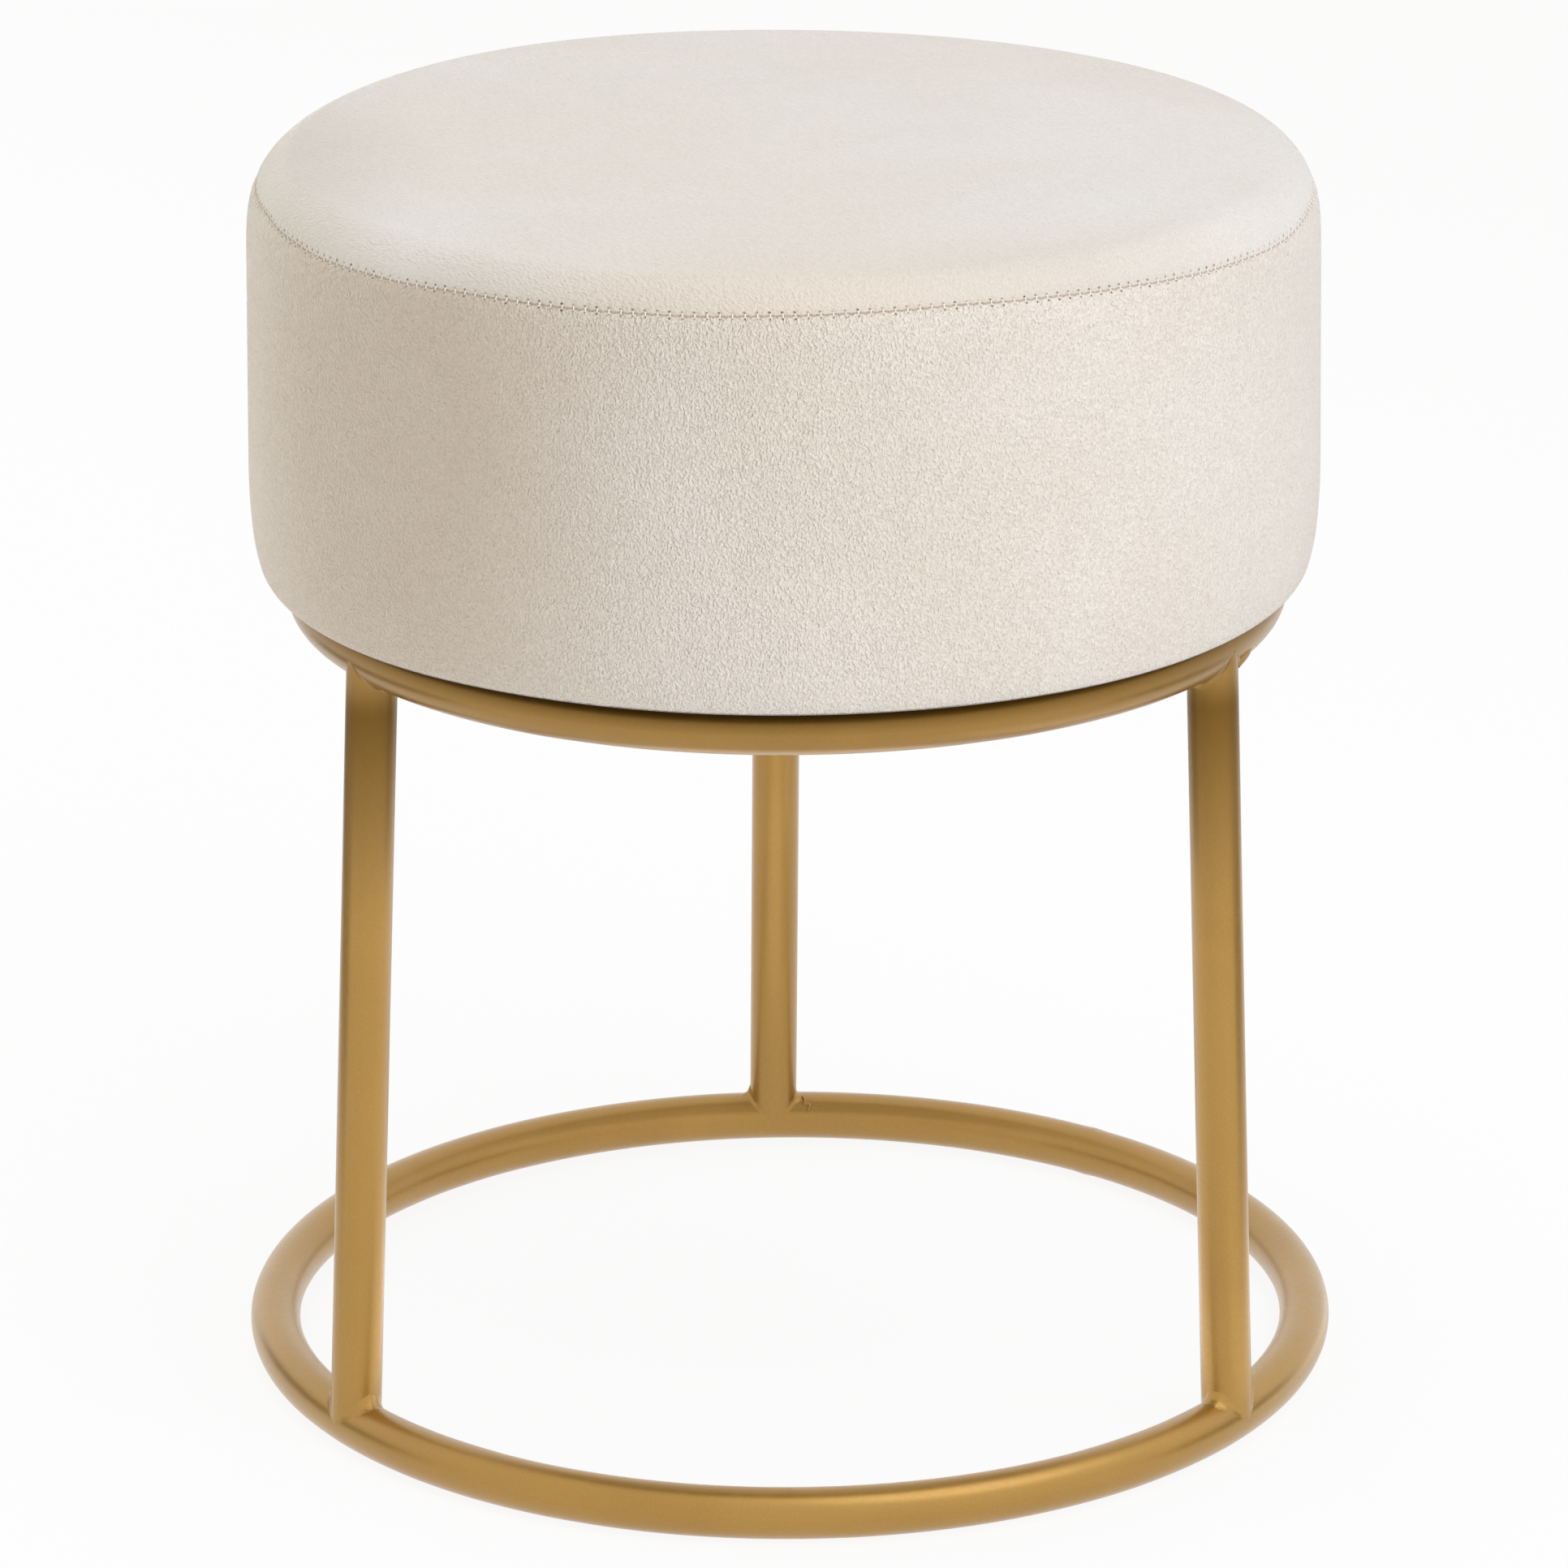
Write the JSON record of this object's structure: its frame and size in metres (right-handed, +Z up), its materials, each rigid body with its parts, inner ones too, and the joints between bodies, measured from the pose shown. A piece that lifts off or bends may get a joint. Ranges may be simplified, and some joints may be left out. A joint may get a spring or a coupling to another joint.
{
  "type": "vanity stool",
  "caption": "Round upholstered vanity stool: a velvet-covered drum seat on a gold tube frame with a seat ring, upright legs and a floor ring.",
  "frame": {"origin": "on the floor under the middle of the base ring", "axes": "+Z up; the front, as pictured, faces -Y; +X to the right seen from the front"},
  "size_m": [0.352, 0.3528, 0.4011],
  "materials": {
    "gold_powder_coat": "satin metallic gold powder coat over steel tube",
    "cream_velvet": "short-pile cream velvet with brushed nap",
    "foam": "open-cell seat foam",
    "plywood": "bare birch plywood",
    "black_felt": "spun-bonded black dust cover cloth",
    "zinc_plated_steel": "bright zinc plated steel"
  },
  "bodies": {
    "root": {"base_ring": "gold_powder_coat", "seat_ring": "gold_powder_coat", "leg_front_left": "gold_powder_coat", "foot_weld_front_left": "gold_powder_coat", "head_weld_front_left": "gold_powder_coat", "leg_front_right": "gold_powder_coat", "foot_weld_front_right": "gold_powder_coat", "head_weld_front_right": "gold_powder_coat", "leg_rear": "gold_powder_coat", "foot_weld_rear": "gold_powder_coat", "head_weld_rear": "gold_powder_coat", "seat_tab_front": "gold_powder_coat", "washer_front": "zinc_plated_steel", "seat_bolt_front": "zinc_plated_steel", "tee_nut_front": "zinc_plated_steel", "seat_tab_right": "gold_powder_coat", "washer_right": "zinc_plated_steel", "seat_bolt_right": "zinc_plated_steel", "tee_nut_right": "zinc_plated_steel", "seat_tab_left": "gold_powder_coat", "washer_left": "zinc_plated_steel", "seat_bolt_left": "zinc_plated_steel", "tee_nut_left": "zinc_plated_steel", "seat_board": "plywood", "foam_block": "foam", "cover_side_band": "cream_velvet", "cover_top_panel": "cream_velvet", "dust_cover": "black_felt"}
  },
  "joints": []
}
